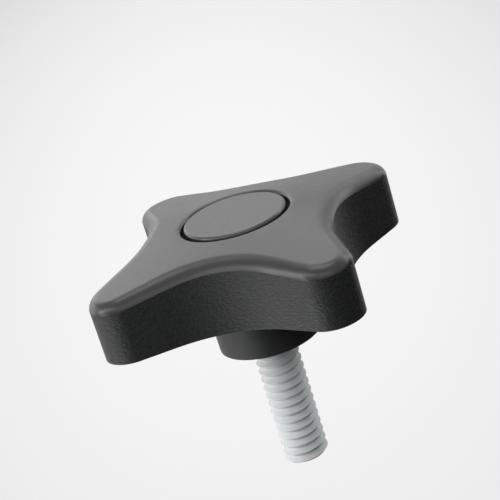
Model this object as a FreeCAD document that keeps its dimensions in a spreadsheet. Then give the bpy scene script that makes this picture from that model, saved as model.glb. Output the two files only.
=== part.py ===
"""Four-lobe clamping knob with a threaded stud.

A moulded knob body, a round cover cap set into its top, and a steel stud whose
hexagonal head is moulded into the hub.  Millimetres, +Z up along the stud's axis,
origin at the centre of the hub's seat face.
"""
import FreeCAD, Part
import Sketcher
import math
import os

V = FreeCAD.Vector

CAP_SEAT = "Sizes.crown_height - Sizes.cap_sink - Sizes.cap_thickness"

SIZES = [
    # planform of the knob body
    ("knob_radius", 24.0, "axis to the tip of a lobe, at the crisp edge"),
    ("lobe_round", 4.2, "radius of a lobe's rounded tip"),
    ("waist_radius", 13.83, "axis to the side wall between two lobes"),
    ("flank_length", 5.2, "straight part of a lobe's flank"),
    # heights above the hub's seat face
    ("skirt_height", 7.4, "lower edge of the side wall"),
    ("crown_height", 19.6, "apex of the conical top"),
    ("crown_slope", 8.7, "fall of the top towards the lobe tips, degrees"),
    ("parting_height", 14.6, "level where the side wall's draft starts"),
    # edges of the body
    ("wall_draft", 0.6, "draft of the side wall, degrees"),
    ("edge_round", 2.2, "radius of the rounded top edge"),
    ("edge_overhang", 0.1, "part of that round cut off by the side wall"),
    # underside
    ("wall_thickness", 2.6, "thickness of the side wall"),
    ("ceiling_height", 12.6, "top of the hollow under the lobes"),
    ("rib_thickness", 1.4, "thickness of the rib in each lobe"),
    ("rib_recess", 0.8, "ribs stay this far inside the lower edge"),
    # hub
    ("hub_radius", 7.3, "radius of the hub at its seat face"),
    ("hub_draft", 1.0, "draft of the hub, degrees"),
    # cap and its recess
    ("cap_radius", 7.2, "radius of the cap"),
    ("cap_sink", 1.1, "cap's face below the apex of the conical top"),
    ("cap_thickness", 2.0, "thickness of the cap's disc"),
    ("cap_bevel", 0.3, "bevel on the cap's upper edge"),
    ("cap_gap", 0.35, "groove between the cap and its recess"),
    ("rim_bevel", 0.3, "bevel on the recess's rim"),
    ("plug_radius", 4.0, "radius of the cap's plug"),
    ("plug_length", 3.0, "length of the cap's plug"),
    ("plug_lead", 0.4, "chamfer at the plug's end"),
    ("plug_clearance", 0.05, "play around the plug"),
    ("plug_relief", 0.3, "bore left free below the plug"),
    # stud
    ("stud_radius", 3.175, "major radius of the thread"),
    ("stud_length", 19.05, "stud below the hub's seat face"),
    ("stud_chamfer", 0.3, "chamfer at the stud's end"),
    ("neck_radius", 2.76, "plain neck between the thread and the head"),
    ("thread_relief", 0.3, "play between the thread and the countersink in the seat face"),
    ("head_flats", 9.5, "width across flats of the stud's head"),
    ("head_seat", 3.0, "underside of the head above the seat face"),
    ("head_height", 5.0, "height of the head"),
]


def make_sheet(doc):
    sheet = doc.addObject("Spreadsheet::Sheet", "Sizes")
    for row, (alias, value, note) in enumerate(SIZES, start=1):
        sheet.set("A%d" % row, alias)
        sheet.set("B%d" % row, str(value))
        sheet.set("C%d" % row, note)
        sheet.setAlias("B%d" % row, alias)
    doc.recompute()
    return sheet


def ref(alias):
    return "Sizes." + alias


def new_body(doc, label):
    body = doc.addObject("PartDesign::Body", label)
    body.Label = label
    return body


def new_sketch(body, name, role, height=None):
    sketch = body.newObject("Sketcher::SketchObject", name)
    planes = body.Origin.OriginFeatures
    plane = [f for f in planes if f.Role == role][0]
    sketch.AttachmentSupport = (plane, [""])
    sketch.MapMode = "FlatFace"
    if height:
        sketch.setExpression("AttachmentOffset.Base.z", height)
    return sketch


def bind(sketch, name, constraint, expression):
    index = sketch.addConstraint(constraint)
    sketch.renameConstraint(index, name)
    sketch.setExpression("Constraints." + name, expression)


def offset_point(sketch, name, geo, pos, x, y, x_text, y_text):
    """Hold a point at (x, y) from the sketch's origin, by two bound distances."""
    for axis, value, text in (("X", x, x_text), ("Y", y, y_text)):
        kind = "Distance" + axis
        if abs(value) < 1e-9:
            line = -2 if axis == "X" else -1
            sketch.addConstraint(Sketcher.Constraint("PointOnObject", geo, pos, line))
        elif value > 0:
            c = Sketcher.Constraint(kind, -1, 1, geo, pos, value)
            bind(sketch, name + axis.lower(), c, text)
        else:
            c = Sketcher.Constraint(kind, geo, pos, -1, 1, -value)
            bind(sketch, name + axis.lower(), c, text)


def lobed_outline(sketch, sheet, grow=0.0, grow_text="0"):
    """Four rounded tips and four hollow waists joined by straight tangent flanks.

    grow moves the whole outline outwards (or inwards when negative), so the
    arcs keep their centres.
    """
    tip_at = sheet.knob_radius - sheet.lobe_round
    tip_r = sheet.lobe_round + grow
    slack = sheet.waist_radius - tip_at / math.sqrt(2)
    flat = sheet.flank_length
    base_r = (tip_at ** 2 / 2 + slack ** 2 - sheet.lobe_round ** 2 - flat ** 2)
    base_r = base_r / (2 * (sheet.lobe_round - slack))
    waist_r = base_r - grow
    waist_at = (sheet.waist_radius + base_r) / math.sqrt(2)

    tip_text = "Sizes.knob_radius - Sizes.lobe_round"
    slack_text = "(Sizes.waist_radius - (%s) / sqrt(2))" % tip_text
    base_text = (
        "((%s)^2 / 2 + %s^2 - Sizes.lobe_round^2 - Sizes.flank_length^2)"
        " / (2 * (Sizes.lobe_round - %s))" % (tip_text, slack_text, slack_text)
    )
    waist_text = "(Sizes.waist_radius + %s) / sqrt(2)" % base_text

    reach = math.hypot(waist_at - tip_at, waist_at)
    turn = math.atan2(waist_at, waist_at - tip_at)
    turn = turn - math.acos((sheet.lobe_round + base_r) / reach)
    tips, waists, flanks = [], [], []
    for k in range(4):
        a = k * math.pi / 2
        c = V(tip_at * math.cos(a), tip_at * math.sin(a), 0)
        arc = Part.ArcOfCircle(Part.Circle(c, V(0, 0, 1), tip_r), a - turn, a + turn)
        tips.append(sketch.addGeometry(arc, False))
    for k in range(4):
        a = k * math.pi / 2
        d = a + math.pi / 4
        c = V(waist_at * math.sqrt(2) * math.cos(d), waist_at * math.sqrt(2) * math.sin(d), 0)
        arc = Part.ArcOfCircle(
            Part.Circle(c, V(0, 0, 1), waist_r),
            a + 1.5 * math.pi - turn,
            a + math.pi + turn,
        )
        waists.append(sketch.addGeometry(arc, False))
    for k in range(4):
        n = (k + 1) % 4
        tip, waist, after = (sketch.Geometry[i] for i in (tips[k], waists[k], tips[n]))
        flanks.append(sketch.addGeometry(Part.LineSegment(tip.EndPoint, waist.EndPoint), False))
        flanks.append(sketch.addGeometry(Part.LineSegment(waist.StartPoint, after.StartPoint), False))
    for k in range(4):
        n = (k + 1) % 4
        out, back = flanks[2 * k], flanks[2 * k + 1]
        for one, end_one, two, end_two in (
            (tips[k], 2, out, 1),
            (out, 2, waists[k], 2),
            (waists[k], 1, back, 1),
            (back, 2, tips[n], 1),
        ):
            sketch.addConstraint(Sketcher.Constraint("Tangent", one, end_one, two, end_two))
    for k in range(4):
        x, y = round(math.cos(k * math.pi / 2)), round(math.sin(k * math.pi / 2))
        offset_point(sketch, "tip%d" % k, tips[k], 3, x * tip_at, y * tip_at, tip_text, tip_text)
        c = Sketcher.Constraint("Radius", tips[k], tip_r)
        bind(sketch, "tip%dr" % k, c, "Sizes.lobe_round + (%s)" % grow_text)
        x = 1 if k in (0, 3) else -1
        y = 1 if k in (0, 1) else -1
        offset_point(
            sketch, "waist%d" % k, waists[k], 3, x * waist_at, y * waist_at, waist_text, waist_text
        )
        c = Sketcher.Constraint("Radius", waists[k], waist_r)
        bind(sketch, "waist%dr" % k, c, "%s - (%s)" % (base_text, grow_text))


def circle(sketch, radius, text, name="ring"):
    geo = sketch.addGeometry(Part.Circle(V(0, 0, 0), V(0, 0, 1), radius), False)
    sketch.addConstraint(Sketcher.Constraint("Coincident", geo, 3, -1, 1))
    bind(sketch, name, Sketcher.Constraint("Radius", geo, radius), text)


def hexagon(sketch, flats, text):
    corner = flats / math.sqrt(3)
    spots = [
        V(corner * math.cos(k * math.pi / 3), corner * math.sin(k * math.pi / 3), 0) for k in range(6)
    ]
    ring = sketch.addGeometry(Part.Circle(V(0, 0, 0), V(0, 0, 1), corner), True)
    sketch.addConstraint(Sketcher.Constraint("Coincident", ring, 3, -1, 1))
    sides = []
    for k in range(6):
        sides.append(sketch.addGeometry(Part.LineSegment(spots[k], spots[(k + 1) % 6]), False))
    for k in range(6):
        sketch.addConstraint(Sketcher.Constraint("Coincident", sides[k], 2, sides[(k + 1) % 6], 1))
        sketch.addConstraint(Sketcher.Constraint("PointOnObject", sides[k], 1, ring))
    for k in range(1, 6):
        sketch.addConstraint(Sketcher.Constraint("Equal", sides[0], sides[k]))
    sketch.addConstraint(Sketcher.Constraint("PointOnObject", sides[0], 1, -1))
    bind(sketch, "corner", Sketcher.Constraint("Radius", ring, corner), text + " / sqrt(3)")


def polygon(sketch, corners, holds):
    """Closed polygon; holds gives each corner's (x text, y text) from the origin."""
    sides = []
    count = len(corners)
    for k in range(count):
        a, b = corners[k], corners[(k + 1) % count]
        sides.append(sketch.addGeometry(Part.LineSegment(V(a[0], a[1], 0), V(b[0], b[1], 0)), False))
    for k in range(count):
        sketch.addConstraint(Sketcher.Constraint("Coincident", sides[k], 2, sides[(k + 1) % count], 1))
    for k in range(count):
        x, y = corners[k]
        offset_point(sketch, "p%d" % k, sides[k], 1, x, y, holds[k][0], holds[k][1])


def pad(body, name, sketch, length, taper=None, down=False):
    feature = body.newObject("PartDesign::Pad", name)
    feature.Profile = sketch
    feature.setExpression("Length", length)
    if taper:
        feature.setExpression("TaperAngle", taper)
    feature.Reversed = down
    return feature


def pocket(body, name, sketch, length, up=False):
    feature = body.newObject("PartDesign::Pocket", name)
    feature.Profile = sketch
    feature.setExpression("Length", length)
    feature.Reversed = up
    return feature


def spin(body, kind, name, sketch):
    feature = body.newObject("PartDesign::" + kind, name)
    feature.Profile = sketch
    feature.ReferenceAxis = (sketch, ["V_Axis"])
    feature.Angle = 360.0
    return feature


def dress(body, kind, name, base, wanted, size):
    """Fillet or chamfer the edges of base that wanted(edge) picks."""
    body.Document.recompute()
    names = ["Edge%d" % (i + 1) for i, e in enumerate(base.Shape.Edges) if wanted(e)]
    if not names:
        raise RuntimeError("no edge found for " + name)
    feature = body.newObject("PartDesign::" + kind, name)
    feature.Base = (base, names)
    feature.setExpression("Radius" if kind == "Fillet" else "Size", size)
    body.Tip = feature
    return feature


def ring_at(height, radius, tolerance=1e-3):
    """Test for a circular edge of this radius around the axis at this height."""

    def test(edge):
        if not isinstance(edge.Curve, Part.Circle) or abs(edge.Curve.Radius - radius) > tolerance:
            return False
        return (edge.Curve.Center - V(0, 0, height)).Length < tolerance

    return test


def make_crown(doc, sheet):
    """Rounded top form, a little wider than the side wall that later trims it."""
    body = new_body(doc, "crown_form")
    plan = new_sketch(body, "CrownPlan", "XY_Plane")
    lobed_outline(plan, sheet, sheet.edge_overhang, ref("edge_overhang"))
    block = pad(body, "CrownBlock", plan, ref("crown_height"))
    cut = new_sketch(body, "CrownCone", "XZ_Plane")
    reach = sheet.knob_radius + 4 * sheet.edge_overhang
    fall = math.tan(math.radians(sheet.crown_slope))
    apex = sheet.crown_height
    reach_text = "Sizes.knob_radius + 4 * Sizes.edge_overhang"
    low_text = "Sizes.crown_height - (%s) * tan(Sizes.crown_slope * 1 deg)" % reach_text
    polygon(
        cut,
        [(0, apex), (reach, apex - reach * fall), (reach, apex + 1), (0, apex + 1)],
        [
            ("0", ref("crown_height")),
            (reach_text, low_text),
            (reach_text, "Sizes.crown_height + 1"),
            ("0", "Sizes.crown_height + 1"),
        ],
    )
    doc.recompute()
    before = block.Shape.Volume
    cone = spin(body, "Groove", "Cone", cut)
    doc.recompute()
    if not cone.Shape.Volume < before - 1:
        raise RuntimeError("the conical top was not cut")

    inner = sheet.waist_radius / 2
    cone_edges = [e for f in cone.Shape.Faces if isinstance(f.Surface, Part.Cone) for e in f.Edges]

    def top_edge(edge):
        if not any(edge.isSame(e) for e in cone_edges):
            return False
        return all(math.hypot(v.X, v.Y) > inner for v in edge.Vertexes)

    dress(body, "Fillet", "TopRound", cone, top_edge, ref("edge_round"))
    doc.recompute()
    return body


def make_knob(doc, sheet, crown):
    body = new_body(doc, "knob_body")
    plan = new_sketch(body, "WallPlan", "XY_Plane", ref("parting_height"))
    lobed_outline(plan, sheet)
    skirt_text = "Sizes.parting_height - Sizes.skirt_height"
    pad(body, "WallBelow", plan, skirt_text, "-Sizes.wall_draft", down=True)
    plan_up = new_sketch(body, "WallPlanAbove", "XY_Plane", ref("parting_height"))
    lobed_outline(plan_up, sheet)
    wall = pad(body, "WallAbove", plan_up, "Sizes.crown_height - Sizes.parting_height")
    doc.recompute()
    trim = body.newObject("PartDesign::Boolean", "CrownTrim")
    trim.setObjects([crown])
    trim.Type = "Common"
    body.Tip = trim
    doc.recompute()
    if not trim.Shape.Volume < wall.Shape.Volume - 1:
        raise RuntimeError("the crown was not trimmed")

    hollow_plan = new_sketch(body, "HollowPlan", "XY_Plane", ref("skirt_height"))
    lobed_outline(hollow_plan, sheet, -sheet.wall_thickness, "-Sizes.wall_thickness")
    depth = "Sizes.ceiling_height - Sizes.skirt_height"
    hollow = pocket(body, "Hollow", hollow_plan, depth, up=True)
    body.Tip = hollow
    doc.recompute()

    hub_plan = new_sketch(body, "HubPlan", "XY_Plane")
    circle(hub_plan, sheet.hub_radius, ref("hub_radius"))
    hub = pad(body, "Hub", hub_plan, "Sizes.ceiling_height + Sizes.rib_recess", ref("hub_draft"))
    body.Tip = hub
    doc.recompute()

    rib_plan = new_sketch(body, "RibPlan", "XY_Plane", "Sizes.skirt_height + Sizes.rib_recess")
    half = sheet.rib_thickness / 2
    near = sheet.hub_radius - half
    far = sheet.knob_radius - sheet.wall_thickness / 2
    polygon(
        rib_plan,
        [(near, -half), (far, -half), (far, half), (near, half)],
        [
            ("Sizes.hub_radius - Sizes.rib_thickness / 2", "Sizes.rib_thickness / 2"),
            ("Sizes.knob_radius - Sizes.wall_thickness / 2", "Sizes.rib_thickness / 2"),
            ("Sizes.knob_radius - Sizes.wall_thickness / 2", "Sizes.rib_thickness / 2"),
            ("Sizes.hub_radius - Sizes.rib_thickness / 2", "Sizes.rib_thickness / 2"),
        ],
    )
    rib = pad(body, "Rib", rib_plan, "Sizes.ceiling_height - Sizes.skirt_height")
    body.Tip = rib
    doc.recompute()
    ribs = body.newObject("PartDesign::PolarPattern", "Ribs")
    ribs.Originals = [rib]
    ribs.Axis = (hub_plan, ["N_Axis"])
    ribs.Angle = 360.0
    ribs.Occurrences = 4
    body.Tip = ribs
    doc.recompute()

    recess = make_recess(body, sheet)
    bore_plan = new_sketch(body, "BorePlan", "XY_Plane", CAP_SEAT)
    circle(
        bore_plan,
        sheet.plug_radius + sheet.plug_clearance,
        "Sizes.plug_radius + Sizes.plug_clearance",
    )
    bore = pocket(body, "Bore", bore_plan, "Sizes.plug_length + Sizes.plug_relief")
    body.Tip = bore
    doc.recompute()

    shank_plan = new_sketch(body, "ShankPlan", "XY_Plane")
    circle(shank_plan, sheet.neck_radius, ref("neck_radius"))
    shank = pocket(body, "ShankHole", shank_plan, ref("head_seat"), up=True)
    body.Tip = shank
    doc.recompute()
    head_plan = new_sketch(body, "HeadPlan", "XY_Plane", ref("head_seat"))
    hexagon(head_plan, sheet.head_flats, ref("head_flats"))
    head = pocket(body, "HeadSocket", head_plan, ref("head_height"), up=True)
    body.Tip = head
    doc.recompute()
    mouth = ring_at(0, sheet.neck_radius)
    sink_text = "Sizes.stud_radius + Sizes.thread_relief - Sizes.neck_radius"
    sink = dress(body, "Chamfer", "Countersink", head, mouth, sink_text)
    doc.recompute()
    cuts = [ribs, recess, bore, shank, head, sink]
    for base, feature in zip(cuts, cuts[1:]):
        if not feature.Shape.Volume < base.Shape.Volume - 1e-3:
            raise RuntimeError(feature.Label + " removed nothing")
    return body


def make_recess(body, sheet):
    """Round recess for the cap, with a bevelled rim that follows the conical top."""
    wall = sheet.cap_radius + sheet.cap_gap
    rim = wall + sheet.rim_bevel
    floor = sheet.crown_height - sheet.cap_sink - sheet.cap_thickness
    top = sheet.crown_height - rim * math.tan(math.radians(sheet.crown_slope))
    above = sheet.crown_height + 1
    wall_text = "Sizes.cap_radius + Sizes.cap_gap"
    rim_text = wall_text + " + Sizes.rim_bevel"
    top_text = "Sizes.crown_height - (%s) * tan(Sizes.crown_slope * 1 deg)" % rim_text
    above_text = "Sizes.crown_height + 1"
    outline = new_sketch(body, "RecessOutline", "XZ_Plane")
    polygon(
        outline,
        [(0, floor), (wall, floor), (wall, top - sheet.rim_bevel), (rim, top), (rim, above), (0, above)],
        [
            ("0", CAP_SEAT),
            (wall_text, CAP_SEAT),
            (wall_text, top_text + " - Sizes.rim_bevel"),
            (rim_text, top_text),
            (rim_text, above_text),
            ("0", above_text),
        ],
    )
    recess = spin(body, "Groove", "Recess", outline)
    body.Tip = recess
    body.Document.recompute()
    return recess


def make_cap(doc, sheet):
    body = new_body(doc, "cap")
    disc_plan = new_sketch(body, "DiscPlan", "XY_Plane", CAP_SEAT)
    circle(disc_plan, sheet.cap_radius, ref("cap_radius"))
    pad(body, "Disc", disc_plan, ref("cap_thickness"))
    plug_plan = new_sketch(body, "PlugPlan", "XY_Plane", CAP_SEAT)
    circle(plug_plan, sheet.plug_radius, ref("plug_radius"))
    plug = pad(body, "Plug", plug_plan, ref("plug_length"), down=True)
    top = sheet.crown_height - sheet.cap_sink
    end = top - sheet.cap_thickness - sheet.plug_length
    edge = dress(body, "Chamfer", "CapBevel", plug, ring_at(top, sheet.cap_radius), ref("cap_bevel"))
    dress(body, "Chamfer", "PlugLead", edge, ring_at(end, sheet.plug_radius), ref("plug_lead"))
    doc.recompute()
    return body


def make_stud(doc, sheet):
    body = new_body(doc, "stud")
    shank_plan = new_sketch(body, "StudPlan", "XY_Plane", "-Sizes.stud_length")
    circle(shank_plan, sheet.stud_radius, ref("stud_radius"))
    pad(body, "Shank", shank_plan, ref("stud_length"))
    neck_plan = new_sketch(body, "NeckPlan", "XY_Plane")
    circle(neck_plan, sheet.neck_radius, ref("neck_radius"))
    pad(body, "Neck", neck_plan, ref("head_seat"))
    head_plan = new_sketch(body, "StudHeadPlan", "XY_Plane", ref("head_seat"))
    hexagon(head_plan, sheet.head_flats, ref("head_flats"))
    head = pad(body, "Head", head_plan, ref("head_height"))
    end = ring_at(-sheet.stud_length, sheet.stud_radius)
    dress(body, "Chamfer", "StudEnd", head, end, ref("stud_chamfer"))
    doc.recompute()
    return body


def check(doc, pieces):
    for item in doc.Objects:
        if "Invalid" in item.State or "Error" in item.State:
            raise RuntimeError("%s failed" % item.Label)
    for piece in pieces:
        shape = piece.Shape
        if shape.isNull() or not shape.isValid() or len(shape.Solids) != 1:
            raise RuntimeError("%s is not one valid solid" % piece.Label)
        print("%-10s %9.1f mm3  %s" % (piece.Label, shape.Volume, shape.BoundBox))


def main():
    doc = FreeCAD.newDocument("four_lobe_knob")
    sheet = make_sheet(doc)
    crown = make_crown(doc, sheet)
    pieces = [make_knob(doc, sheet, crown), make_cap(doc, sheet), make_stud(doc, sheet)]
    doc.recompute()
    check(doc, pieces)
    os.makedirs("parts", exist_ok=True)
    for piece in pieces:
        piece.Shape.exportStep("parts/%s.step" % piece.Label)


main()
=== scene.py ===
"""Looks of the four-lobe knob: its moulded surfaces, its thread, the light and the camera.

Lengths in the geometry are millimetres, as in the solids, and become metres in new_piece.
"""

import math

import bmesh
import bpy
from mathutils import Matrix, Vector


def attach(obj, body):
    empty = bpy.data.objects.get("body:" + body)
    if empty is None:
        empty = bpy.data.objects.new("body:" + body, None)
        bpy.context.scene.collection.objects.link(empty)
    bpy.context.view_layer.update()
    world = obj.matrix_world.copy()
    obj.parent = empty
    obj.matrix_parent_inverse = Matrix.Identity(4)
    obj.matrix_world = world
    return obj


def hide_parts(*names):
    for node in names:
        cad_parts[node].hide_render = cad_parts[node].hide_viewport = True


MM = 0.001

# planform of the knob body
KNOB_RADIUS = 24.0
LOBE_ROUND = 4.2
WAIST_RADIUS = 13.83
FLANK_LENGTH = 5.2

# heights above the hub's seat face
SKIRT_HEIGHT = 7.4
CROWN_HEIGHT = 19.6
CROWN_SLOPE = math.radians(8.7)
PARTING_HEIGHT = 14.6

# edges and wall of the body
WALL_DRAFT = math.radians(0.6)
EDGE_ROUND = 2.2
EDGE_OVERHANG = 0.1
TIP_EDGE_ROUND = 1.95
WAIST_EDGE_ROUND = 2.8
TIP_EDGE_ENDS, WAIST_EDGE_STARTS = 8, 32  # degrees round the axis from a lobe's middle
WALL_THICKNESS = 2.6
CEILING_HEIGHT = 12.6
RIB_THICKNESS = 1.4
RIB_RECESS = 0.8

# hub
HUB_RADIUS = 7.3
HUB_DRAFT = math.radians(1.0)

# cap and its recess
CAP_RADIUS = 7.2
CAP_SINK = 1.1
CAP_THICKNESS = 2.0
CAP_EDGE = 0.45
CAP_EDGE_REACH = CAP_EDGE * 1.6
CAP_GAP = 0.4
RIM_EDGE = 0.75
RIM_ROUND_SHARE = 0.999  # of the rim's edge, so that its arc starts just inside the rim
PLUG_RADIUS = 4.0
PLUG_LENGTH = 3.0
PLUG_LEAD = 0.4
PLUG_CLEARANCE = 0.05
PLUG_RELIEF = 0.3

# stud with a 1/4 inch thread, 20 turns to the inch, and the hexagonal head in the hub
STUD_RADIUS = 3.175
STUD_LENGTH = 19.05
STUD_CHAMFER = 0.3
THREAD_RELIEF = 0.3
THREAD_PITCH = 1.27
THREAD_DEPTH = 0.8
CREST_WIDTH = 0.12
CREST_SOFTNESS = 0.36
ROOT_SOFTNESS = 0.22
NECK_RADIUS = 2.76
HEAD_FLATS = 9.5
HEAD_SEAT = 3.0
HEAD_HEIGHT = 5.0

# grain of the side wall, its lengths in metres
GRAIN_STRETCH = (0.85, 0.85, 1.5)
GRAIN_CELLS = 2300  # cells to the metre, before the stretch
GRAIN_WARP = 0.0004
GRAIN_RELIEF = 0.00008

# fineness of the meshes
CONE_RINGS = 14
WALL_ROWS = 8
LATHE_SEGMENTS = 144
STUD_SEGMENTS = 96
SMOOTH_BELOW = math.radians(28)
THREAD_SMOOTH_BELOW = math.radians(40)
MERGE_DISTANCE = 1e-4

# camera, at the photograph's viewing angle
VIEW_AZIMUTH = math.radians(-26.169)
VIEW_ELEVATION = math.radians(21.200)
VIEW_ROLL = math.radians(17.110)
VIEW_DISTANCE = 290.04
VIEW_AIM_RIGHT = 1.150
VIEW_AIM_DOWN = 1.481
VIEW_AIM_HEIGHT = 14.73
LENS_MM = 153.94
SENSOR_MM = 36.0

# stage and light: metres, and brightness 1 is white
WORLD_LIGHT = 0.35
SURROUND_WHITE = 0.93
# the floor's glow is a painted pool of light: FLOOR_WHITE in its middle, painted shade down to
# FLOOR_EDGE at its rim
FLOOR_WHITE = 0.855
FLOOR_EDGE = 0.675
FLOOR_LEVEL = -0.3
FLOOR_REACH = 8.0
POOL_AWAY = 1.27
POOL_SIZE = (0.148, 0.43)
POOL_EDGE = 1.6
HORIZON_START, HORIZON_END = 1.7, 3.2
HORIZON_GAIN = 0.2
CARD_DISTANCE = 0.2
CARD_START, CARD_END = -160, 10  # azimuth in degrees
CARD_TOP, CARD_BOTTOM = 10, -70  # elevation in degrees
LAMP_DISTANCE = 0.9
LAMP_ABOVE_FLOOR = 0.03

# name, azimuth, elevation, half width and half height in degrees, brightness
LAMPS = (
    ("left", 160, 23, 11, 11, 4.6),
    ("left_high", -172, 40, 18, 9, 2.3),
    ("left_low", 174, 4, 14, 8, 1.9),
    ("left_below", 165, -54, 26, 16, 3.3),
    ("side", 121, 11, 13, 17, 1.35),
    ("back", 48, 40, 40, 10, 1.5),
    ("back_low", 91, 16, 17, 10, 1.05),
    ("back_middle", 62, 22, 6, 6, 0.4),
    ("right", 2, 20, 11, 10, 1.75),
    ("right_low", 16, 0, 8, 8, 1.0),
    ("top", 40, 80, 18, 15, 2.3),
    ("front", -115, 34, 26, 14, 0.8),
)


# Mesh helpers


def new_piece(name, build, materials, node):
    """A mesh object from build(bmesh), in metres, that stands for a node of the frame."""
    mesh = bpy.data.meshes.new(name)
    shape = bmesh.new()
    build(shape)
    bmesh.ops.recalc_face_normals(shape, faces=shape.faces)
    bmesh.ops.scale(shape, vec=(MM, MM, MM), verts=shape.verts)
    shape.to_mesh(mesh)
    shape.free()
    piece = bpy.data.objects.new(name, mesh)
    bpy.context.scene.collection.objects.link(piece)
    for material in materials:
        mesh.materials.append(material)
    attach(piece, "root")
    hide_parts(node)


def add_loop(shape, points):
    return [shape.verts.new(p) for p in points]


def bridge(shape, low, high, keep=None, material=0):
    """Quads between two closed loops of equal length; keep(i) says which segments."""
    count = len(low)
    for i in range(count):
        if keep is None or keep(i):
            j = (i + 1) % count
            face = shape.faces.new((low[i], low[j], high[j], high[i]))
            face.material_index = material


def close_with_fan(shape, loop, centre, material=0):
    tip = shape.verts.new(centre)
    for i, vert in enumerate(loop):
        face = shape.faces.new((vert, loop[(i + 1) % len(loop)], tip))
        face.material_index = material


def finish_shading(shape, angle=SMOOTH_BELOW):
    """Smooth faces, with hard edges where two faces meet at more than the angle."""
    for face in shape.faces:
        face.smooth = True
    for edge in shape.edges:
        if len(edge.link_faces) == 2 and edge.calc_face_angle(0) > angle:
            edge.smooth = False


def rounded(path, steps=5):
    """Path of (r, z) points from (r, z, radius) corners, each corner an arc of that radius."""
    points = []
    for i, (r, z, radius) in enumerate(path):
        here = Vector((r, z))
        if radius == 0 or i in (0, len(path) - 1):
            points.append((r, z))
            continue
        back = (Vector(path[i - 1][:2]) - here).normalized()
        ahead = (Vector(path[i + 1][:2]) - here).normalized()
        half = back.angle(ahead) / 2
        centre = here + (back + ahead).normalized() * (radius / math.sin(half))
        start = here + back * (radius / math.tan(half)) - centre
        end = here + ahead * (radius / math.tan(half)) - centre
        sweep = start.angle(end)
        for k in range(steps + 1):
            a, b = sweep * (1 - k / steps), sweep * k / steps
            spot = centre + (start * math.sin(a) + end * math.sin(b)) / math.sin(sweep)
            points.append((spot.x, spot.y))
    return points


# Knob body


class Outline:
    """Four rounded tips and four hollow waists, joined by straight tangent flanks.

    A sample is (x, y, direction of the outward normal).
    """

    TIP_STEPS_INSIDE_RIB = 4
    TIP_STEPS = 10
    FLANK_STEPS = 6
    WAIST_STEPS = 24

    def __init__(self):
        tip_at = KNOB_RADIUS - LOBE_ROUND
        slack = WAIST_RADIUS - tip_at / math.sqrt(2)
        # radius of the waist's arc, for a flank of this length that touches both arcs
        hollow = tip_at ** 2 / 2 + slack ** 2 - LOBE_ROUND ** 2 - FLANK_LENGTH ** 2
        hollow /= 2 * (LOBE_ROUND - slack)
        waist_at = (WAIST_RADIUS + hollow) / math.sqrt(2)
        # direction of the flank's outward normal
        reach = math.hypot(waist_at - tip_at, waist_at)
        turn = math.atan2(waist_at, waist_at - tip_at) - math.acos((LOBE_ROUND + hollow) / reach)
        rib_turn = math.asin(RIB_THICKNESS / 2 / (LOBE_ROUND - WALL_THICKNESS))

        def on_tip(a):
            return (tip_at + LOBE_ROUND * math.cos(a), LOBE_ROUND * math.sin(a), a)

        def on_waist(a):
            return (waist_at - hollow * math.cos(a), waist_at - hollow * math.sin(a), a)

        def spread(low, high, steps):
            return [low + (high - low) * k / steps for k in range(steps)]

        half = [on_tip(a) for a in spread(0, rib_turn, self.TIP_STEPS_INSIDE_RIB)]
        half += [on_tip(a) for a in spread(rib_turn, turn, self.TIP_STEPS)]
        start, end = on_tip(turn), on_waist(turn)
        for share in spread(0, 1, self.FLANK_STEPS):
            x = start[0] + (end[0] - start[0]) * share
            y = start[1] + (end[1] - start[1]) * share
            half.append((x, y, turn))
        half += [on_waist(a) for a in spread(turn, math.pi / 4, self.WAIST_STEPS // 2)]
        middle = [on_waist(math.pi / 4)]
        mirrored = [(y, x, math.pi / 2 - a) for x, y, a in reversed(half[1:])]
        self.samples = []
        for k in range(4):
            c, s = math.cos(k * math.pi / 2), math.sin(k * math.pi / 2)
            for x, y, a in half + middle + mirrored:
                self.samples.append((x * c - y * s, x * s + y * c, a + k * math.pi / 2))
        self.count = len(self.samples)
        self.quarter = self.count // 4

    def grown(self, grow, height):
        """Loop at this height, moved outwards by grow."""
        loop = []
        for x, y, a in self.samples:
            loop.append((x + grow * math.cos(a), y + grow * math.sin(a), height))
        return loop

    def in_rib(self, i):
        """Whether the segment from sample i to the next lies on a rib's end."""
        i %= self.quarter
        inside = self.TIP_STEPS_INSIDE_RIB
        return i < inside or i >= self.quarter - inside

    def rib_sides(self):
        inside = self.TIP_STEPS_INSIDE_RIB
        for k in range(4):
            yield (k * self.quarter + inside) % self.count
            yield (k * self.quarter - inside) % self.count

    def hub_loop(self, radius, height):
        """Loop on a circle whose points meet the ribs' side planes."""
        inside = self.TIP_STEPS_INSIDE_RIB
        half = math.asin(RIB_THICKNESS / 2 / radius)
        points = []
        for i in range(self.count):
            k, j = divmod(i, self.quarter)
            if j <= inside:
                a = half * j / inside
            elif j >= self.quarter - inside:
                a = math.pi / 2 - half * (self.quarter - j) / inside
            else:
                share = (j - inside) / (self.quarter - 2 * inside)
                a = half + (math.pi / 2 - 2 * half) * share
            a += k * math.pi / 2
            points.append((radius * math.cos(a), radius * math.sin(a), height))
        return points


def cone_height(radius):
    return CROWN_HEIGHT - radius * math.tan(CROWN_SLOPE)


def edge_round_at(x, y):
    """Radius of the rounded edge: tight round the lobe tips, wider in the waists."""
    from_lobe = abs((math.degrees(math.atan2(y, x)) + 45) % 90 - 45)
    share = (from_lobe - TIP_EDGE_ENDS) / (WAIST_EDGE_STARTS - TIP_EDGE_ENDS)
    share = min(max(share, 0), 1)
    share = share * share * (3 - 2 * share)
    return TIP_EDGE_ROUND + (WAIST_EDGE_ROUND - TIP_EDGE_ROUND) * share


def ball_under_cone(point, n, inwards, radius):
    """Centre of a ball that touches the conical top, this far inside the outline."""
    centre = point - n * inwards
    centre.z = cone_height(centre.length) - radius / math.cos(CROWN_SLOPE)
    return centre


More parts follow.
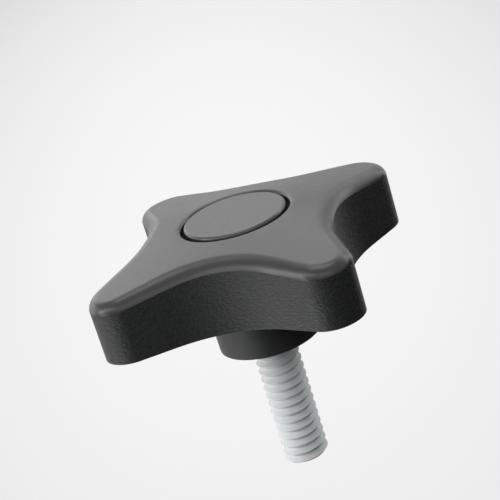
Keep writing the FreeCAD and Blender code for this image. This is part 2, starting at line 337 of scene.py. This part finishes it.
def roundover(outline, steps=16, halvings=40):
    """Loops of the rounded edge between the wall and the conical top, from the crisp edge up.

    The crisp edge has the height that an edge of radius EDGE_ROUND gives it. How far inside
    the outline the ball lies that also touches the cone is found by halving.
    """
    trim = EDGE_ROUND - EDGE_OVERHANG
    rise = math.sqrt(EDGE_ROUND ** 2 - trim ** 2)
    loops = [[] for _ in range(steps + 1)]
    for x, y, a in outline.samples:
        point = Vector((x, y, 0))
        n = Vector((math.cos(a), math.sin(a), 0))
        t = Vector((-math.sin(a), math.cos(a), 0))
        edge_height = ball_under_cone(point, n, trim, EDGE_ROUND).z + rise
        radius = edge_round_at(x, y)
        near, far = radius / 2, radius
        for _ in range(halvings):
            middle = (near + far) / 2
            z = ball_under_cone(point, n, middle, radius).z
            if middle ** 2 + (edge_height - z) ** 2 < radius ** 2:
                near = middle
            else:
                far = middle
        c = ball_under_cone(point, n, near, radius)
        radial = Vector((c.x, c.y, 0)).normalized()
        climb = -math.tan(CROWN_SLOPE) * radial.dot(t)
        up = (Vector((0, 0, 1)) - climb * t).normalized()
        face = radial * math.sin(CROWN_SLOPE) + Vector((0, 0, math.cos(CROWN_SLOPE)))
        low = math.atan2(edge_height - c.z, near)
        high = math.atan2(face.dot(up), face.dot(n))
        for k in range(steps + 1):
            b = low + (high - low) * k / steps
            loops[k].append(c + (n * math.cos(b) + up * math.sin(b)) * radius)
    return loops


SATIN, GRAIN, UNDERSIDE = 0, 1, 2  # places in the body's list of materials


def hexagon_radius(x, y):
    """Distance from the axis to the head's side, in the direction of this point."""
    turn = (math.atan2(y, x) - math.pi / 6) % (math.pi / 3) - math.pi / 6
    return HEAD_FLATS / 2 / math.cos(turn)


def build_top(shape, outline):
    """Rounded edge, cone, rim, recess and bore; returns the rounded edge's loops."""
    edge_loops = [add_loop(shape, points) for points in roundover(outline)]
    for low, high in zip(edge_loops, edge_loops[1:]):
        bridge(shape, low, high, material=SATIN)
    wall_radius = CAP_RADIUS + CAP_GAP
    rim_radius = wall_radius + RIM_EDGE * math.cos(CROWN_SLOPE)
    directions = []
    for vert in edge_loops[-1]:
        flat = Vector((vert.co.x, vert.co.y))
        directions.append((flat.normalized(), flat.length))
    before = edge_loops[-1]
    for k in range(1, CONE_RINGS + 1):
        points = []
        for way, far in directions:
            r = far + (rim_radius - far) * k / CONE_RINGS
            points.append((way.x * r, way.y * r, cone_height(r)))
        ring = add_loop(shape, points)
        bridge(shape, before, ring, material=SATIN)
        before = ring
    corner = math.pi / 2 - CROWN_SLOPE
    rim_round = RIM_EDGE * math.tan(corner / 2)
    floor = CROWN_HEIGHT - CAP_SINK - CAP_THICKNESS
    bore = PLUG_RADIUS + PLUG_CLEARANCE
    profile = rounded(
        [
            (rim_radius, cone_height(rim_radius), 0),
            (wall_radius, cone_height(wall_radius), rim_round * RIM_ROUND_SHARE),
            (wall_radius, floor, 0),
            (bore, floor, 0),
            (bore, floor - PLUG_LENGTH - PLUG_RELIEF, 0),
        ]
    )
    # the rim's ring is there already, and stands for the first point and the arc's start
    for r, z in profile[2:]:
        ring = add_loop(shape, [(way.x * r, way.y * r, z) for way, _ in directions])
        bridge(shape, before, ring, material=SATIN)
        before = ring
    close_with_fan(shape, before, (0, 0, floor - PLUG_LENGTH - PLUG_RELIEF))
    return edge_loops


def build_wall(shape, outline, crisp_edge):
    """Drafted side wall, from the crisp edge down; returns its lowest loop."""
    before = crisp_edge
    for k in range(WALL_ROWS + 1):
        z = PARTING_HEIGHT + (SKIRT_HEIGHT - PARTING_HEIGHT) * k / WALL_ROWS
        inwards = (PARTING_HEIGHT - z) * math.tan(WALL_DRAFT)
        ring = add_loop(shape, outline.grown(-inwards, z))
        bridge(shape, before, ring, material=GRAIN)
        before = ring
    return before


def build_underside(shape, outline, wall_foot):
    """Skirt face, hollow, ribs and hub; returns the loop round the hub's seat face."""
    rib_height = SKIRT_HEIGHT + RIB_RECESS
    mouth = add_loop(shape, outline.grown(-WALL_THICKNESS, SKIRT_HEIGHT))
    middle = add_loop(shape, outline.grown(-WALL_THICKNESS, rib_height))
    top = add_loop(shape, outline.grown(-WALL_THICKNESS, CEILING_HEIGHT))

    def hub_at(z):
        return add_loop(shape, outline.hub_loop(HUB_RADIUS + z * math.tan(HUB_DRAFT), z))

    hub_top, hub_rib, hub_seat = hub_at(CEILING_HEIGHT), hub_at(rib_height), hub_at(0)

    def open_part(i):
        return not outline.in_rib(i)

    bridge(shape, wall_foot, mouth, material=UNDERSIDE)
    bridge(shape, mouth, middle, material=UNDERSIDE)
    bridge(shape, middle, top, open_part, UNDERSIDE)
    bridge(shape, top, hub_top, open_part, UNDERSIDE)
    bridge(shape, hub_top, hub_rib, open_part, UNDERSIDE)
    bridge(shape, middle, hub_rib, outline.in_rib, UNDERSIDE)
    for i in outline.rib_sides():
        face = shape.faces.new((middle[i], top[i], hub_top[i], hub_rib[i]))
        face.material_index = UNDERSIDE
    bridge(shape, hub_rib, hub_seat, material=UNDERSIDE)
    return hub_seat


def build_stud_hole(shape, outline, hub_seat):
    """Countersink round the stud, hole for its neck and socket for its head."""
    sink_radius = STUD_RADIUS + THREAD_RELIEF
    sink = add_loop(shape, outline.hub_loop(sink_radius, 0))
    neck_low = add_loop(shape, outline.hub_loop(NECK_RADIUS, sink_radius - NECK_RADIUS))
    neck_high = add_loop(shape, outline.hub_loop(NECK_RADIUS, HEAD_SEAT))
    corners = [Vector(p).normalized() * hexagon_radius(p[0], p[1]) for p in outline.hub_loop(1, 0)]
    socket_low = add_loop(shape, [(p.x, p.y, HEAD_SEAT) for p in corners])
    socket_top = HEAD_SEAT + HEAD_HEIGHT
    socket_high = add_loop(shape, [(p.x, p.y, socket_top) for p in corners])
    loops = [hub_seat, sink, neck_low, neck_high, socket_low, socket_high]
    for low, high in zip(loops, loops[1:]):
        bridge(shape, low, high, material=UNDERSIDE)
    close_with_fan(shape, socket_high, (0, 0, socket_top), UNDERSIDE)


def build_body(shape):
    outline = Outline()
    edge_loops = build_top(shape, outline)
    wall_foot = build_wall(shape, outline, edge_loops[0])
    hub_seat = build_underside(shape, outline, wall_foot)
    build_stud_hole(shape, outline, hub_seat)
    loose = [v for v in shape.verts if not v.link_faces]
    bmesh.ops.delete(shape, geom=loose, context="VERTS")
    finish_shading(shape)
    crisp = set(edge_loops[0])
    for edge in shape.edges:
        if edge.verts[0] in crisp and edge.verts[1] in crisp:
            edge.smooth = False


# Cap


def build_lathe(shape, path, segments=LATHE_SEGMENTS):
    """Solid of revolution about Z from (r, z) points that start and end on the axis."""
    loops = []
    for r, z in path[1:-1]:
        points = []
        for k in range(segments):
            a = 2 * math.pi * k / segments
            points.append((r * math.cos(a), r * math.sin(a), z))
        loops.append(add_loop(shape, points))
    close_with_fan(shape, loops[0], (0, 0, path[0][1]))
    for low, high in zip(loops, loops[1:]):
        bridge(shape, low, high)
    close_with_fan(shape, loops[-1], (0, 0, path[-1][1]))


def build_cap(shape):
    face = CROWN_HEIGHT - CAP_SINK
    seat = face - CAP_THICKNESS
    end = seat - PLUG_LENGTH
    path = rounded(
        [
            (0, face, 0),
            (CAP_RADIUS - CAP_EDGE_REACH, face, 0),
            (CAP_RADIUS, face, CAP_EDGE),
            (CAP_RADIUS, seat, 0),
            (PLUG_RADIUS, seat, 0),
            (PLUG_RADIUS, end + PLUG_LEAD, 0),
            (PLUG_RADIUS - PLUG_LEAD, end, 0),
            (0, end, 0),
        ]
    )
    build_lathe(shape, path)
    finish_shading(shape)


# Stud


def thread_drop(along):
    """How far the thread's surface lies below its crest, at this distance along the axis."""
    away = abs((along / THREAD_PITCH + 0.5) % 1 - 0.5) * THREAD_PITCH
    drop = (away - CREST_WIDTH / 2) * math.tan(math.radians(60))
    drop = (drop + math.hypot(drop, CREST_SOFTNESS)) / 2
    rest = THREAD_DEPTH - drop
    return THREAD_DEPTH - (rest + math.hypot(rest, ROOT_SOFTNESS)) / 2


def build_thread(shape, low, high, columns=STUD_SEGMENTS, rows_per_turn=16):
    """Right-hand screw between two heights, as one helical ribbon closed at both ends.

    The ribbon starts a turn too low, ends beyond the top, and is cut to length by two planes.
    """
    turns = int((high - low) / THREAD_PITCH) + 3
    least = thread_drop(0)
    rows = turns * rows_per_turn
    grid = []
    for i in range(rows):
        row = []
        for j in range(columns):
            a = 2 * math.pi * j / columns
            along = THREAD_PITCH * i / rows_per_turn
            z = low - THREAD_PITCH + along + THREAD_PITCH * j / columns
            r = STUD_RADIUS - thread_drop(along) + least
            row.append(shape.verts.new((r * math.cos(a), r * math.sin(a), z)))
        grid.append(row)
    for i in range(rows - 1):
        for j in range(columns - 1):
            shape.faces.new((grid[i][j], grid[i][j + 1], grid[i + 1][j + 1], grid[i + 1][j]))
        wrap = i + rows_per_turn
        if wrap + 1 < rows:
            shape.faces.new((grid[i][-1], grid[wrap][0], grid[wrap + 1][0], grid[i + 1][-1]))
    for height, normal in ((low, (0, 0, -1)), (high, (0, 0, 1))):
        everything = shape.verts[:] + shape.edges[:] + shape.faces[:]
        bmesh.ops.bisect_plane(
            shape, geom=everything, plane_co=(0, 0, height), plane_no=normal, clear_outer=True
        )
        rim = []
        for edge in shape.edges:
            if edge.is_boundary and abs(edge.verts[0].co.z - height) < MERGE_DISTANCE:
                rim.append(edge)
        bmesh.ops.contextual_create(shape, geom=rim)


def scratch_object(name, build):
    mesh = bpy.data.meshes.new(name)
    shape = bmesh.new()
    build(shape)
    bmesh.ops.recalc_face_normals(shape, faces=shape.faces)
    shape.to_mesh(mesh)
    shape.free()
    thing = bpy.data.objects.new(name, mesh)
    bpy.context.scene.collection.objects.link(thing)
    return thing


def cut_stud(shape):
    """Screw trimmed by its chamfered blank and joined to the neck and the hexagonal head."""
    spare = 0.4
    overlap = 1
    end = -STUD_LENGTH

    def blank(part):
        reach = STUD_CHAMFER + spare
        path = [(0, end), (STUD_RADIUS - STUD_CHAMFER, end), (STUD_RADIUS + spare, end + reach)]
        build_lathe(part, path + [(STUD_RADIUS + spare, 0), (0, 0)], STUD_SEGMENTS)

    def neck(part):
        foot, top = -overlap, HEAD_SEAT + overlap
        path = [(0, foot), (NECK_RADIUS, foot), (NECK_RADIUS, top), (0, top)]
        build_lathe(part, path, STUD_SEGMENTS)

    def head(part):
        corner = HEAD_FLATS / math.sqrt(3)
        top = HEAD_SEAT + HEAD_HEIGHT
        path = [(0, HEAD_SEAT), (corner, HEAD_SEAT), (corner, top), (0, top)]
        build_lathe(part, path, segments=6)

    screw = scratch_object("screw", lambda part: build_thread(part, end - spare, spare))
    tools = []
    for name, build, operation in (
        ("blank", blank, "INTERSECT"),
        ("neck", neck, "UNION"),
        ("head", head, "UNION"),
    ):
        tool = scratch_object(name, build)
        change = screw.modifiers.new(name, "BOOLEAN")
        change.operation = operation
        change.solver = "EXACT"
        change.object = tool
        tools.append(tool)
    bpy.context.view_layer.update()
    graph = bpy.context.evaluated_depsgraph_get()
    result = bpy.data.meshes.new_from_object(screw.evaluated_get(graph))
    shape.from_mesh(result)
    for thing in [screw] + tools:
        bpy.data.objects.remove(thing)
    bmesh.ops.remove_doubles(shape, verts=shape.verts, dist=MERGE_DISTANCE)
    finish_shading(shape, THREAD_SMOOTH_BELOW)


# Materials


def socket(node, name, value):
    node.inputs[name].default_value = value


def plain_material(name, colour, roughness, specular=0.5):
    material = bpy.data.materials.new(name)
    material.use_nodes = True
    tree = material.node_tree
    surface = tree.nodes["Principled BSDF"]
    socket(surface, "Base Color", (*colour, 1))
    socket(surface, "Roughness", roughness)
    socket(surface, "Specular IOR Level", specular)
    return material, tree, surface


def object_place(tree):
    """Socket with the place on the object, in metres."""
    return tree.nodes.new("ShaderNodeTexCoord").outputs["Object"]


def map_range(tree, value, from_min=0, from_max=1, to_min=0, to_max=1):
    """Socket with the value carried over from one range to another."""
    spread = tree.nodes.new("ShaderNodeMapRange")
    socket(spread, "From Min", from_min)
    socket(spread, "From Max", from_max)
    socket(spread, "To Min", to_min)
    socket(spread, "To Max", to_max)
    tree.links.new(value, spread.inputs["Value"])
    return spread.outputs["Result"]


def combine(tree, operation, first, second, clamp=False):
    """Socket with the sum or the product of two others."""
    result = tree.nodes.new("ShaderNodeMath")
    result.operation = operation
    result.use_clamp = clamp
    tree.links.new(first, result.inputs[0])
    tree.links.new(second, result.inputs[1])
    return result.outputs[0]


def noise(tree, place, scale, detail):
    grain = tree.nodes.new("ShaderNodeTexNoise")
    socket(grain, "Scale", scale)
    socket(grain, "Detail", detail)
    tree.links.new(place, grain.inputs["Vector"])
    return grain


def mottle(tree, place, target, scale, low, high):
    """Noise that moves the target socket between low and high."""
    grain = noise(tree, place, scale, detail=3)
    spread = map_range(tree, grain.outputs["Fac"], 0.3, 0.7, low, high)
    tree.links.new(spread, target)


def tint(tree, place, target, scale, dark, light):
    """Noise between two colours on the target socket."""
    grain = noise(tree, place, scale, detail=4)
    mix = tree.nodes.new("ShaderNodeMix")
    mix.data_type = "RGBA"
    # a mix has several sockets of the same name, and these are the ones for colours
    share, first, second, result = mix.inputs[0], mix.inputs[6], mix.inputs[7], mix.outputs[2]
    first.default_value = (*dark, 1)
    second.default_value = (*light, 1)
    tree.links.new(grain.outputs["Fac"], share)
    tree.links.new(result, target)


def bump(tree, height, surface, distance, strength):
    lift = tree.nodes.new("ShaderNodeBump")
    socket(lift, "Strength", strength)
    socket(lift, "Distance", distance)
    tree.links.new(height, lift.inputs["Height"])
    tree.links.new(lift.outputs["Normal"], surface.inputs["Normal"])


def satin_plastic(name, shade, specular=0.5):
    """Moulded top and cap: even satin with a very fine spark-eroded grain."""
    colour = (shade, shade * 1.04, shade * 1.04)
    dark, light = [tuple(c * k for c in colour) for k in (0.9, 1.1)]
    material, tree, surface = plain_material(name, colour, 0.3, specular)
    place = object_place(tree)
    mottle(tree, place, surface.inputs["Roughness"], scale=900, low=0.28, high=0.33)
    tint(tree, place, surface.inputs["Base Color"], scale=2500, dark=dark, light=light)
    fine = noise(tree, place, scale=9000, detail=2)
    bump(tree, fine.outputs["Fac"], surface, distance=0.00001, strength=0.2)
    return material


def grained_plastic():
    """Side wall: leather-like grain of rounded cells, wider than they are high."""
    material, tree, surface = plain_material("grained_plastic", (0.03, 0.032, 0.033), 0.5)
    place = object_place(tree)
    mottle(tree, place, surface.inputs["Roughness"], scale=1500, low=0.46, high=0.56)
    dark, light = (0.017, 0.018, 0.018), (0.024, 0.025, 0.025)
    tint(tree, place, surface.inputs["Base Color"], scale=2600, dark=dark, light=light)
    flatten = tree.nodes.new("ShaderNodeVectorMath")
    flatten.operation = "MULTIPLY"
    flatten.inputs[1].default_value = GRAIN_STRETCH
    tree.links.new(place, flatten.inputs[0])
    warp = noise(tree, place, scale=1800, detail=2)
    lean = tree.nodes.new("ShaderNodeVectorMath")
    lean.operation = "MULTIPLY_ADD"
    lean.inputs[1].default_value = (GRAIN_WARP, GRAIN_WARP, GRAIN_WARP)
    tree.links.new(warp.outputs["Color"], lean.inputs[0])
    tree.links.new(flatten.outputs["Vector"], lean.inputs[2])
    cells = tree.nodes.new("ShaderNodeTexVoronoi")
    cells.feature = "SMOOTH_F1"
    socket(cells, "Scale", GRAIN_CELLS)
    socket(cells, "Smoothness", 0.5)
    tree.links.new(lean.outputs["Vector"], cells.inputs["Vector"])
    bump(tree, cells.outputs["Distance"], surface, distance=GRAIN_RELIEF, strength=0.6)
    return material


def underside_plastic():
    """Hub and hollow: plain moulded surface, a little duller than the top."""
    material, tree, surface = plain_material("underside_plastic", (0.03, 0.031, 0.032), 0.5)
    place = object_place(tree)
    mottle(tree, place, surface.inputs["Roughness"], scale=1200, low=0.46, high=0.54)
    dark, light = (0.026, 0.027, 0.028), (0.034, 0.036, 0.037)
    tint(tree, place, surface.inputs["Base Color"], scale=2500, dark=dark, light=light)
    return material


def zinc_steel():
    """Stud: dull zinc plating, slightly uneven."""
    material, tree, surface = plain_material("zinc_steel", (0.73, 0.76, 0.76), 0.62)
    socket(surface, "Metallic", 0.2)
    place = object_place(tree)
    mottle(tree, place, surface.inputs["Roughness"], scale=1300, low=0.56, high=0.68)
    dark, light = (0.69, 0.72, 0.72), (0.77, 0.80, 0.80)
    tint(tree, place, surface.inputs["Base Color"], scale=1600, dark=dark, light=light)
    fine = noise(tree, place, scale=5000, detail=3)
    bump(tree, fine.outputs["Fac"], surface, distance=0.00001, strength=0.3)
    return material


# Stage, light and camera


def direction(azimuth, elevation):
    level = math.cos(elevation)
    return Vector((math.cos(azimuth) * level, math.sin(azimuth) * level, math.sin(elevation)))


def softbox(name, azimuth, elevation, half_width, half_height, brightness):
    """Rectangular lamp that faces the knob, all angles in degrees as the knob sees them.

    Azimuth 0 is towards +X. Brightness 1 is as bright as a white card in full light. A lamp
    below the horizon stands nearer, so that it stays above the floor.
    """
    a, e = math.radians(azimuth), math.radians(elevation)
    distance = LAMP_DISTANCE
    if e < 0:
        distance = min(distance, (FLOOR_LEVEL + LAMP_ABOVE_FLOOR) / math.sin(e))
    width = 2 * distance * math.tan(math.radians(half_width))
    height = 2 * distance * math.tan(math.radians(half_height))
    lamp = bpy.data.lights.new(name, "AREA")
    lamp.shape = "RECTANGLE"
    lamp.size = width
    lamp.size_y = height
    lamp.energy = brightness * math.pi * width * height
    thing = bpy.data.objects.new(name, lamp)
    bpy.context.scene.collection.objects.link(thing)
    thing.visible_camera = False
    way = direction(a, e)
    thing.location = way * distance
    thing.rotation_euler = way.to_track_quat("Z", "Y").to_euler()


def add_lamps():
    for lamp in LAMPS:
        softbox(*lamp)


def seen_directly(tree):
    """Socket that is 1 for rays from the camera, a reflection or clear glass, else 0."""
    path = tree.nodes.new("ShaderNodeLightPath")
    total = path.outputs["Is Camera Ray"]
    for name in ("Is Glossy Ray", "Is Transmission Ray"):
        total = combine(tree, "ADD", total, path.outputs[name], clamp=True)
    return total


def set_world():
    world = bpy.data.worlds.new("world")
    bpy.context.scene.world = world
    world.use_nodes = True
    tree = world.node_tree
    backdrop = tree.nodes["Background"]
    level = map_range(tree, seen_directly(tree), to_min=WORLD_LIGHT, to_max=SURROUND_WHITE)
    tree.links.new(level, backdrop.inputs["Strength"])
    socket(backdrop, "Color", (1, 1, 1, 1))


def stage_mesh(name, points, faces, material):
    mesh = bpy.data.meshes.new(name)
    mesh.from_pydata(points, [], faces)
    mesh.materials.append(material)
    thing = bpy.data.objects.new(name, mesh)
    bpy.context.scene.collection.objects.link(thing)
    return thing


def painted_light_pool(tree, place):
    """Socket with the floor's painted pool of light: brightest in the middle of an oval behind the
    knob, painted darker towards its rim.
    """
    ahead = Vector((-math.sin(VIEW_AZIMUTH), math.cos(VIEW_AZIMUTH), 0))
    foot = view_place(view_axes()) * MM
    foot.z = FLOOR_LEVEL
    pool = tree.nodes.new("ShaderNodeMapping")
    pool.vector_type = "TEXTURE"
    socket(pool, "Location", foot + ahead * POOL_AWAY)
    socket(pool, "Rotation", (0, 0, VIEW_AZIMUTH))
    socket(pool, "Scale", (*POOL_SIZE, 1))
    tree.links.new(place, pool.inputs["Vector"])
    square = tree.nodes.new("ShaderNodeVectorMath")
    square.operation = "DOT_PRODUCT"
    for side in (0, 1):
        tree.links.new(pool.outputs["Vector"], square.inputs[side])
    away = square.outputs["Value"]
    return map_range(tree, away, from_max=POOL_EDGE ** 2, to_min=FLOOR_WHITE, to_max=FLOOR_EDGE)


def horizon_glow(tree, place):
    """Socket with what the floor's brightness gains towards the horizon."""
    reach = tree.nodes.new("ShaderNodeVectorMath")
    reach.operation = "LENGTH"
    tree.links.new(place, reach.inputs[0])
    far = reach.outputs["Value"]
    return map_range(tree, far, HORIZON_START, HORIZON_END, to_max=HORIZON_GAIN)


def add_floor():
    """Pale floor well below the knob, with a painted pool of light behind the knob that is painted
    darker towards its rim.

    Far out it rises to the surround's white, so that no horizon shows.
    """
    material, tree, surface = plain_material("floor_paper", (0.12, 0.12, 0.12), 0.9, 0.0)
    place = object_place(tree)
    # glow seen directly: the painted pool of light, plus the rise to white towards the horizon
    both = combine(tree, "ADD", painted_light_pool(tree, place), horizon_glow(tree, place))
    glow = combine(tree, "MULTIPLY", both, seen_directly(tree))
    tree.links.new(glow, surface.inputs["Emission Strength"])
    socket(surface, "Emission Color", (1, 1, 1, 1))
    r, z = FLOOR_REACH, FLOOR_LEVEL
    corners = [(-r, -r, z), (r, -r, z), (r, r, z), (-r, r, z)]
    stage_mesh("floor", corners, [(0, 1, 2, 3)], material)


def add_dark_card():
    """Dark card round the front, below the camera, that keeps the side wall's front dark.

    The camera doesn't see it. It stands in for the dark half of the studio.
    """
    material = plain_material("dark_card", (0.01, 0.01, 0.01), 0.9, 0.0)[0]
    points, faces = [], []
    steps, rows = 18, 8
    for j in range(rows + 1):
        e = math.radians(CARD_TOP + (CARD_BOTTOM - CARD_TOP) * j / rows)
        for i in range(steps + 1):
            a = math.radians(CARD_START + (CARD_END - CARD_START) * i / steps)
            points.append(direction(a, e) * CARD_DISTANCE)
            if i and j:
                k = len(points) - 1
                faces.append((k, k - 1, k - steps - 2, k - steps - 1))
    card = stage_mesh("dark_card", points, faces, material)
    card.visible_camera = False


def view_axes():
    """The camera's right, up and back directions."""
    back = Vector(
        (
            math.sin(VIEW_AZIMUTH) * math.cos(VIEW_ELEVATION),
            -math.cos(VIEW_AZIMUTH) * math.cos(VIEW_ELEVATION),
            math.sin(VIEW_ELEVATION),
        )
    )
    level = Vector((math.cos(VIEW_AZIMUTH), math.sin(VIEW_AZIMUTH), 0))
    above = back.cross(level)
    right = level * math.cos(VIEW_ROLL) - above * math.sin(VIEW_ROLL)
    up = above * math.cos(VIEW_ROLL) + level * math.sin(VIEW_ROLL)
    return right, up, back


def view_place(axes):
    """Where the camera stands, in millimetres."""
    right, up, back = axes
    aim = Vector((0, 0, VIEW_AIM_HEIGHT)) + right * VIEW_AIM_RIGHT - up * VIEW_AIM_DOWN
    return aim + back * VIEW_DISTANCE


def set_camera():
    data = bpy.data.cameras.new("camera")
    data.sensor_width = SENSOR_MM
    data.lens = LENS_MM
    data.clip_start = 0.01
    data.clip_end = 50
    camera = bpy.data.objects.new("camera", data)
    bpy.context.scene.collection.objects.link(camera)
    axes = view_axes()
    turn = Matrix(axes).transposed().to_4x4()
    camera.matrix_world = Matrix.Translation(view_place(axes) * MM) @ turn
    bpy.context.scene.camera = camera


def dress(nodes):
    """Pieces that stand for the solids, each with its finish."""
    satin = satin_plastic("body_satin", shade=0.02)
    body_finish = [satin, grained_plastic(), underside_plastic()]
    # the cap's satin is the body's satin painted lighter and glossier: painted light on the cap's
    # flat face
    cap_lit_finish = [satin_plastic("cap_satin_lit_copy", shade=0.03, specular=0.58)]
    new_piece("knob_body_moulding", build_body, body_finish, "knob_body")
    new_piece("cap_disc", build_cap, cap_lit_finish, "cap")
    new_piece("threaded_stud", cut_stud, [zinc_steel()], "stud")
    for node in nodes:
        node.data.materials.clear()
        node.data.materials.append(satin)


def set_stage():
    """World, floor, card, lamps and camera."""
    set_world()
    add_floor()
    add_dark_card()
    add_lamps()
    set_camera()
    bpy.context.scene.view_settings.view_transform = "Standard"


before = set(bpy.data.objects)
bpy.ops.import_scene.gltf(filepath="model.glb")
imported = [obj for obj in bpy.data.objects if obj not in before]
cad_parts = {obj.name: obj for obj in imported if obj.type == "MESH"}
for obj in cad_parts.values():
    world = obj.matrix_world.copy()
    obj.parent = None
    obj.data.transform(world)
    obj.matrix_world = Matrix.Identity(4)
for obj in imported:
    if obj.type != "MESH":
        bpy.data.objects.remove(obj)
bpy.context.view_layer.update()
dress(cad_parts.values())
set_stage()
